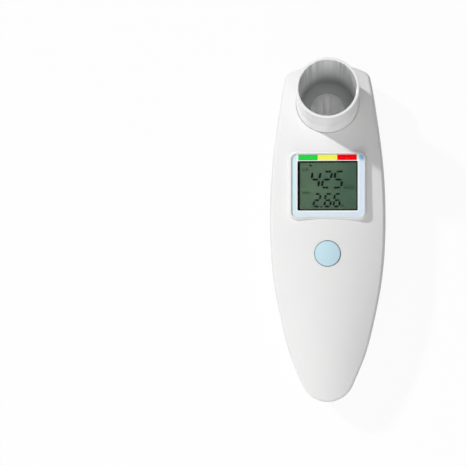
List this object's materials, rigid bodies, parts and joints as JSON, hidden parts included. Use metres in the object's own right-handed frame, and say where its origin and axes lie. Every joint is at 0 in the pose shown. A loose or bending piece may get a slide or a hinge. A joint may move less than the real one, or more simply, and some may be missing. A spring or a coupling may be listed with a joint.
{
  "type": "peak flow meter",
  "caption": "Hand-held electronic peak flow meter: white pebble-shaped housing with a tilted round mouthpiece, a display under a clear window, a push button and a slide-off battery cover.",
  "frame": {"origin": "centre of the bounding box's bottom face, on the flat back that the meter rests on", "axes": "+X to the right seen from the front, +Y along the housing to the head end with the mouthpiece, +Z out of the display"},
  "size_m": [0.0583, 0.1708, 0.0495],
  "materials": {
    "housing_white": "satin gloss white moulded plastic",
    "mouthpiece_white": "gloss white moulded plastic",
    "tube_grey": "gloss light grey moulded plastic",
    "seal_rubber": "grey silicone rubber",
    "screen_mesh": "fine woven mesh",
    "foam_black": "black closed-cell foam",
    "window_clear": "clear polished plastic window",
    "light_blue": "light blue gloss",
    "green_zone": "printed green",
    "yellow_zone": "printed yellow",
    "red_zone": "printed red",
    "lcd_green": "grey-green read-out",
    "button_blue": "satin light blue plastic",
    "board_green": "green solder mask",
    "chip_black": "black moulded packages",
    "holder_white": "white moulded inner plastic",
    "sensor_black": "dark moulded plastic",
    "contact_metal": "nickel plated spring steel",
    "screw_steel": "zinc plated steel",
    "cell_jacket": "dark battery jacket with bright ends"
  },
  "bodies": {
    "housing": {"front_shell": "housing_white", "rear_shell": "housing_white", "flow_tube": "tube_grey", "mouthpiece_seal": "seal_rubber", "flow_screen": "screen_mesh", "screen_retainer": "tube_grey", "tube_gasket": "foam_black", "pressure_sensor": "sensor_black", "pressure_hoses": "seal_rubber", "display_window": "window_clear", "window_mask": "light_blue", "zone_green": "green_zone", "zone_yellow": "yellow_zone", "zone_red": "red_zone", "window_gasket": "foam_black", "lcd_glass": "lcd_green", "lcd_holder": "holder_white", "zebra_strips": "seal_rubber", "circuit_board": "board_green", "board_chips": "chip_black", "buzzer": "chip_black", "tact_switch": "sensor_black", "battery_tray": "holder_white", "batteries": "cell_jacket", "battery_springs": "contact_metal", "battery_contacts": "contact_metal", "housing_screws": "screw_steel", "board_screws": "screw_steel", "tray_screws": "screw_steel"},
    "mouthpiece": {"mouthpiece": "mouthpiece_white"},
    "button": {"power_button": "button_blue", "switch_plunger": "holder_white"},
    "cover": {"battery_cover": "housing_white"}
  },
  "joints": [
    {"name": "mouthpiece_pull", "type": "slide", "parent": "housing", "child": "mouthpiece", "axis": [0, 0.165, 0.9863], "range_m": [0, 0.04]},
    {"name": "button_press", "type": "slide", "parent": "housing", "child": "button", "axis": [0, 0, -1], "range_m": [0, 0.0003], "stiffness_N_per_m": 900, "springref_m": -0.0006},
    {"name": "cover_slide", "type": "slide", "parent": "housing", "child": "cover", "axis": [0, -1, 0], "range_m": [0, 0.08]}
  ]
}
